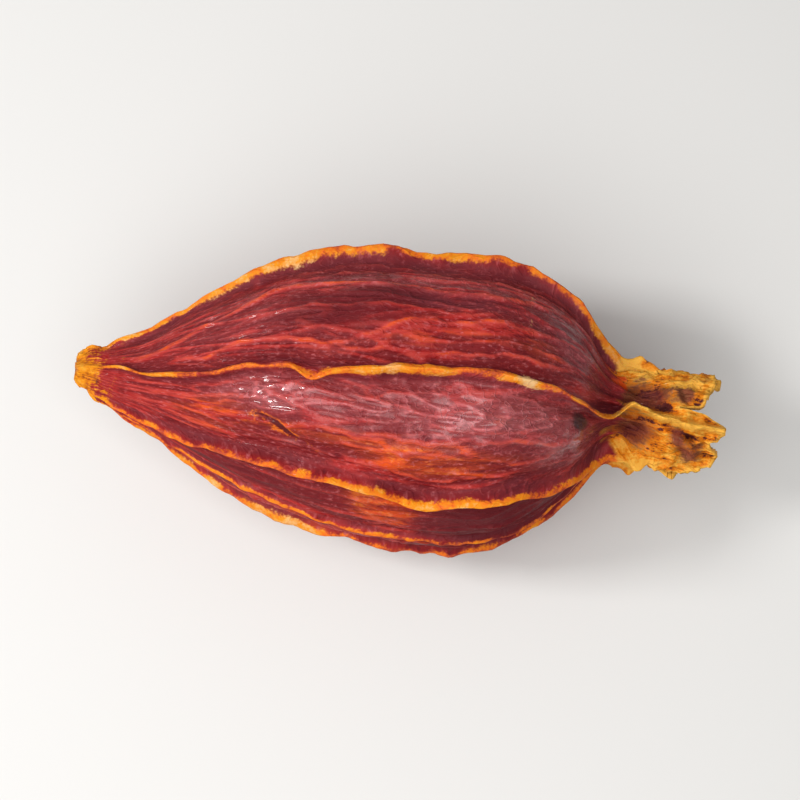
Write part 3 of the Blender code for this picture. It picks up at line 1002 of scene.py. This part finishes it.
def skin_finish():
    """Waxy dry skin: dark red with paler veins, orange and gold crests, ochre paper at the calyx."""
    material = bpy.data.materials.new("dry_fruit_skin")
    material.use_nodes = True
    tree = material.node_tree
    shader = tree.nodes["Principled BSDF"]
    start = Shade(tree)
    rib, gilt, vein, net = start.mask("rib"), start.mask("gilt"), start.mask("vein"), start.mask("net")
    crackle, crease, relief = start.mask("crackle"), start.mask("crease"), start.mask("relief")
    glow, wax, dusk = start.mask("glow"), start.mask("wax"), start.mask("dusk")
    deep, soot, scar = start.mask("deep"), start.mask("soot"), start.mask("scar")
    calyx, hollow, rim = start.mask("calyx"), start.mask("hollow"), start.mask("rim")
    gold, purple = start.mask("gold"), start.mask("purple")

    grain = start.node("ShaderNodeAttribute", {"attribute_name": "grain"}, {}, "Vector")
    place = start.node("ShaderNodeTexCoord", {}, {}, "Object")
    long_place = start.stretched(grain, 0.16)
    short_place = start.stretched(grain, 0.4)
    streaks = start.noise(long_place, STREAKS, 4, 0.6)
    mottle = start.noise(place, MOTTLE, 3)
    clouds = start.noise(long_place, CLOUDS, 2)
    specks = start.noise(place, SPECKS, 2)
    flecks = start.noise(start.stretched(grain, 0.6), FLECKS, 3, 0.6)
    threads = start.lines(short_place, THREADS, 0.03)
    fine_threads = start.lines(short_place, FINE_THREADS, 0.045)
    crazing = start.lines(place, CRAZING, 0.035)

    # Red flesh in lengthwise streaks, orange where it glows, and painted shade in the hollows of its relief
    tone = 0.30 * streaks + 0.26 * mottle + 0.22 * clouds + 0.22 * flecks
    flesh = tone.ramp(((0.37, MAROON), (0.46, RED), (0.57, ROSE), (0.74, ORANGE)))
    ember = glow * (0.35 + streaks.between(0.38, 0.62))
    flesh = ember.between(0.2, 1.0).over(flesh, EMBER)
    flesh = (ember.between(1.1, 1.9) * (flecks + mottle).between(0.92, 1.10)).over(flesh, RIB_ORANGE)
    valley_shade = (0 - relief).between(-0.1, 0.8) * (0.4 + 0.7 * streaks) * (1 - 0.4 * ember.between(0.8, 1.8))
    flesh = valley_shade.over(flesh, MAROON)

    # Paler wrinkles, threads and veins, pale lilac flecks that are partly painted sheen, and the darkest red
    # between the veins, which on the lower panels of the near side is painted shadow
    flesh = (net.between(0.3, 1.0) * (0.5 * mottle.between(0.35, 0.65))).over(flesh, VEIN_RED)
    flesh = (fine_threads * 0.30 * streaks.between(0.4, 0.6)).over(flesh, VEIN_RED)
    flesh = (vein.between(0.15, 0.7) * (0.3 + streaks.between(0.35, 0.6)) * 0.8).over(flesh, VEIN_RED)
    flesh = (vein.between(0.5, 0.9) * (0.2 + 0.8 * mottle.between(0.4, 0.6))).over(flesh, EMBER)
    flesh = (flecks.between(0.52, 0.75) * (0.2 + 0.6 * mottle)).over(flesh, SHEEN_LILAC)
    flesh = ((deep - 0.4 * vein).between(0.1, 0.9) * (0.6 + 0.6 * mottle)).over(flesh, MAROON)

    # Cracked waxy bloom whose pale lilac is partly painted sheen, bruises that are partly painted shade,
    # smudges, and painted shade at the feet of the ribs
    bloom_and_sheen = wax * (0.3 + 0.7 * (0.5 * crackle + 0.5 * crazing + 0.4 * mottle).between(0.25, 0.9))
    flesh = (bloom_and_sheen * 0.65).over(flesh, SHEEN_LILAC)
    bruise_and_shade_cover = dusk.between(0.2, 0.9) * (0.35 + 0.4 * mottle.between(0.35, 0.6))
    flesh = (bruise_and_shade_cover * (1 - 0.4 * flecks.between(0.5, 0.6))).over(flesh, DUSK)
    smudge = (soot + 1.2 * (mottle - 0.5)).between(0.3, 0.9) * soot.between(0.05, 0.3)
    flesh = (smudge * 0.85).over(flesh, SOOT)
    # Painted shade along the feet of the ribs
    foot = rib.between(0.02, 0.15) * (1 - rib.between(0.35, 0.7))
    flesh = (foot * (0.2 + 0.4 * mottle)).over(flesh, DUSK)

    # Creases, orange along their torn lips and with painted shade inside
    torn = crease.between(0.0, 0.8) + 1.4 * (streaks - 0.5) + 2.0 * (mottle - 0.5) + 1.2 * (specks - 0.5)
    lips = crease.between(0.05, 0.3) * 0.7 * (mottle + 0.5 * specks).between(0.72, 0.90)
    flesh = lips.over(flesh, RIB_ORANGE)
    flesh = (torn.between(0.6, 1.0) * crease.between(0.1, 0.5)).over(flesh, MAROON)
    flesh = (torn.between(1.0, 1.4) * 0.6 * crease.between(0.4, 0.8)).over(flesh, BROWN)

    # Crests from rust to cream, with ragged edges
    crest_tone = 0.35 * streaks + 0.7 * mottle + 0.3 * specks + 0.45 * clouds - 0.38 + 0.16 * gilt
    crest = crest_tone.ramp(((0.43, RUST), (0.52, RIB_ORANGE), (0.66, GOLD), (0.84, CREAM)))
    edge = rib + 0.9 * (mottle - 0.5) + 0.5 * (streaks - 0.5) + 0.5 * (clouds - 0.5) + 0.4 * (specks - 0.5)
    edge = edge + 0.2 * gilt
    flesh = (edge.between(0.62, 0.86) * (0.5 + 0.6 * mottle + 0.2 * gilt)).over(flesh, crest)

    # Brown stalk scar with pale knobs, partly their own colour and partly painted light on their tops and
    # painted shade between them
    knobs = 0.4 * mottle + 0.3 * specks + 0.3 * streaks + 0.24 * relief
    knobs = knobs.ramp(((0.40, BROWN), (0.48, OCHRE), (0.60, GOLD), (0.80, PAPER_PALE)))
    nub = scar + 1.4 * (mottle - 0.5) + 1.8 * (streaks - 0.5) + 1.0 * (specks - 0.5)
    flesh = (nub.between(0.25, 0.85) * scar.between(0.0, 0.15)).over(flesh, knobs)

    # Papery calyx, stained purple and partly painted with purple shade in its folds, with brown painted
    # shade in its deepest hollows, and pale along its rim and ribs
    wear = 2.0 * (mottle - 0.5) + 1.2 * (streaks - 0.5) + 0.8 * (specks - 0.5)
    sheet_tone = 0.50 + wear - 0.35 * (hollow - 0.5) + 0.10 * rib + 0.10 * gold
    sheet = sheet_tone.ramp(((0.26, BROWN), (0.42, OCHRE), (0.60, PAPER_GOLD), (0.90, PAPER_PALE)))
    shadow = (purple + 0.6 * wear - 0.3 * rib).between(0.25, 0.75) * 0.9
    sheet = shadow.over(sheet, PAPER_PURPLE)
    sheet = (hollow.between(0.75, 1.0) * (1 - rim) * 0.4).over(sheet, BROWN)
    pale_edge = rim + 0.5 * rib + 0.4 * rib * gilt + 0.4 * wear
    sheet = pale_edge.between(0.35, 0.85).over(sheet, PAPER_PALE)
    flesh = (calyx + 0.15 * (mottle - 0.5) + 0.1 * (streaks - 0.5)).between(0.07, 0.20).over(flesh, sheet)
    flesh = (ember * calyx.between(0.0, 0.1)).between(0.3, 0.9).over(flesh, EMBER)

    # The finest relief, and the shine of the wax
    height = 0.5 * streaks + 0.35 * specks + 0.4 * fine_threads + 0.3 * mottle + 0.5 * threads + 0.4 * flecks
    height = height + wax * (0.8 * crazing + 0.6 * crackle) + calyx * (0.8 * threads + 0.6 * crazing)
    bump_inputs = {"Height": height, "Strength": 0.8, "Distance": FINEST_RELIEF}
    bump = start.node("ShaderNodeBump", {}, bump_inputs, "Normal")
    roughness = 0.50 + 0.2 * mottle + 0.1 * calyx - 0.18 * wax
    coat = 0.03 + 0.8 * wax * mottle.between(0.40, 0.58)
    tree.links.new(flesh.socket, shader.inputs["Base Color"])
    tree.links.new(roughness.socket, shader.inputs["Roughness"])
    tree.links.new(coat.socket, shader.inputs["Coat Weight"])
    tree.links.new(bump.socket, shader.inputs["Normal"])
    shader.inputs["Specular IOR Level"].default_value = 0.13
    shader.inputs["Coat Roughness"].default_value = 0.06
    shader.inputs["Subsurface Weight"].default_value = 0.1
    shader.inputs["Subsurface Radius"].default_value = (1.0, 0.35, 0.15)
    shader.inputs["Subsurface Scale"].default_value = 0.0004
    return material


fruit.data.materials.append(skin_finish())
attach(fruit, "root")
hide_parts("dried_fruit")


# The table top that the fruit lies on: a plain pale board with a dull painted face. It is one flat sheet,
# wide enough to fill the view from any side.
TABLE_SIZE = 1.2
TABLE_COLOUR = (0.72, 0.71, 0.69)
TABLE_ROUGHNESS = 0.7

bpy.ops.object.select_all(action="DESELECT")
bpy.ops.mesh.primitive_plane_add(size=TABLE_SIZE)
table = bpy.context.object
table.name = "table_top"
board = bpy.data.materials.new("pale_board")
board.use_nodes = True
paint = board.node_tree.nodes["Principled BSDF"]
paint.inputs["Base Color"].default_value = (*TABLE_COLOUR, 1)
paint.inputs["Roughness"].default_value = TABLE_ROUGHNESS
table.data.materials.append(board)


# Light: a white room, a soft key light over the left front, and a smaller, harder one from the left that
# makes the wax sparkle. Both lamps are square panels that face the fruit.
ROOM_LIGHT = 0.32
KEY_PLACE = (-0.03, -0.06, 0.145)
KEY_SIZE = 0.18
KEY_POWER = 0.225
SPARK_PLACE = (-0.138, -0.004, 0.146)
SPARK_SIZE = 0.04
SPARK_POWER = 0.18

world = bpy.data.worlds.new("studio")
bpy.context.scene.world = world
world.use_nodes = True
world.node_tree.nodes["Background"].inputs["Color"].default_value = (1, 1, 1, 1)
world.node_tree.nodes["Background"].inputs["Strength"].default_value = ROOM_LIGHT
for place, size, power in ((KEY_PLACE, KEY_SIZE, KEY_POWER), (SPARK_PLACE, SPARK_SIZE, SPARK_POWER)):
    bpy.ops.object.light_add(type="AREA", location=place)
    lamp = bpy.context.object
    lamp.data.size = size
    lamp.data.energy = power
    lamp.rotation_euler = (-lamp.location).to_track_quat("-Z", "Y").to_euler()


# Camera: it looks down on the fruit, a little from the front and slightly turned, with the fruit's stalk end
# to the left. Its long lens keeps the fruit's outline from bulging.
CAMERA_ELEVATION = math.radians(80)
CAMERA_ROLL = math.radians(5.8)
CAMERA_DISTANCE = 0.115
CAMERA_TARGET = Vector((0, 0, 0.0075))
CAMERA_LENS = 100

camera = bpy.data.objects.new("camera", bpy.data.cameras.new("camera"))
bpy.context.scene.collection.objects.link(camera)
bpy.context.scene.camera = camera
camera.data.lens = CAMERA_LENS
back = Vector((0, -math.cos(CAMERA_ELEVATION), math.sin(CAMERA_ELEVATION)))
turn = back.to_track_quat("Z", "Y").to_matrix().to_4x4() @ Matrix.Rotation(CAMERA_ROLL, 4, "Z")
camera.matrix_world = Matrix.Translation(CAMERA_TARGET + CAMERA_DISTANCE * back) @ turn
bpy.context.scene.view_settings.view_transform = "Standard"
